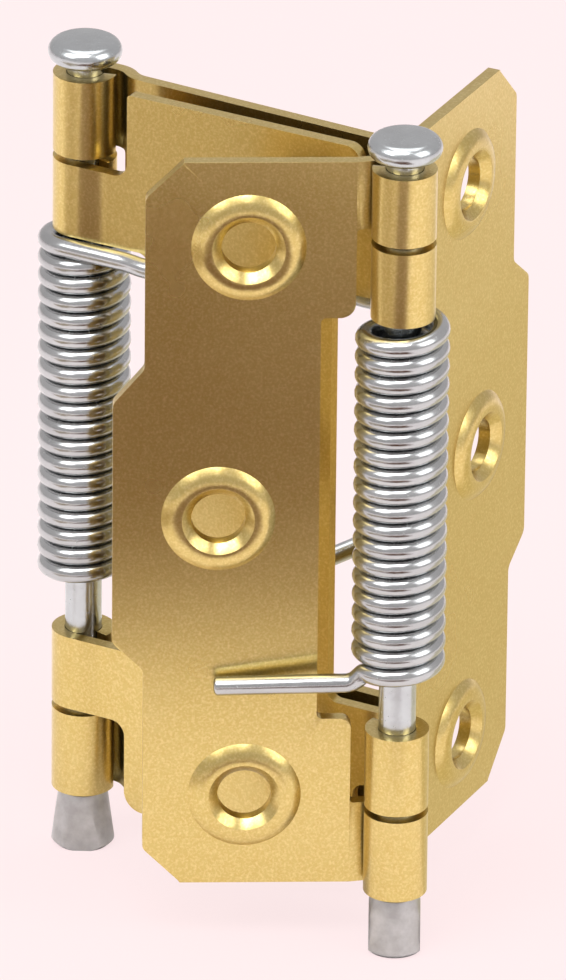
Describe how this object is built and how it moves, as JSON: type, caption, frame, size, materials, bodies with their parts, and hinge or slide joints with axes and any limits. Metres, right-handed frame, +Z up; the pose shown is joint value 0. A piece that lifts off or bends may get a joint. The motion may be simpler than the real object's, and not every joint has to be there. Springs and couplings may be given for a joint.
{
  "type": "double acting spring hinge",
  "caption": "Spring loaded door hinge: an L-shaped jamb leaf, a middle strap and a door leaf turn on two headed pins, each with a coiled torsion spring.",
  "frame": {"origin": "on the outer face of the jamb leaf's mounting plate, midway between its two outer screw holes", "axes": "+Z up along both pins, +X along the mounting plate away from the fold, +Y from the plate's outer face through the sheet, close to the way the web runs"},
  "size_m": [0.0439, 0.0462, 0.086],
  "materials": {
    "brass_plated_steel": "thin brass plating on sheet steel, satin",
    "bright_steel": "bright zinc plated, dull where the tail is flared",
    "spring_steel": "bright drawn wire"
  },
  "bodies": {
    "jamb side": {"jamb_leaf": "brass_plated_steel"},
    "strap": {"middle_strap": "brass_plated_steel", "jamb_pin": "bright_steel", "door_pin": "bright_steel", "jamb_spring": "spring_steel", "door_spring": "spring_steel"},
    "door side": {"door_leaf": "brass_plated_steel"}
  },
  "joints": [
    {"name": "jamb_hinge", "type": "hinge", "parent": "jamb side", "child": "strap", "pos_m": [-0.01178, 0.03516, 0], "axis": [0, 0, -1], "range_deg": [-1, 95], "stiffness_Nm_per_rad": 0.31, "deforming": ["jamb_spring"]},
    {"name": "door_hinge", "type": "hinge", "parent": "strap", "child": "door side", "pos_m": [-0.01819, -0.00192, 0], "axis": [0, 0, 1], "range_deg": [-10, 95], "stiffness_Nm_per_rad": 0.31, "deforming": ["door_spring"]}
  ]
}
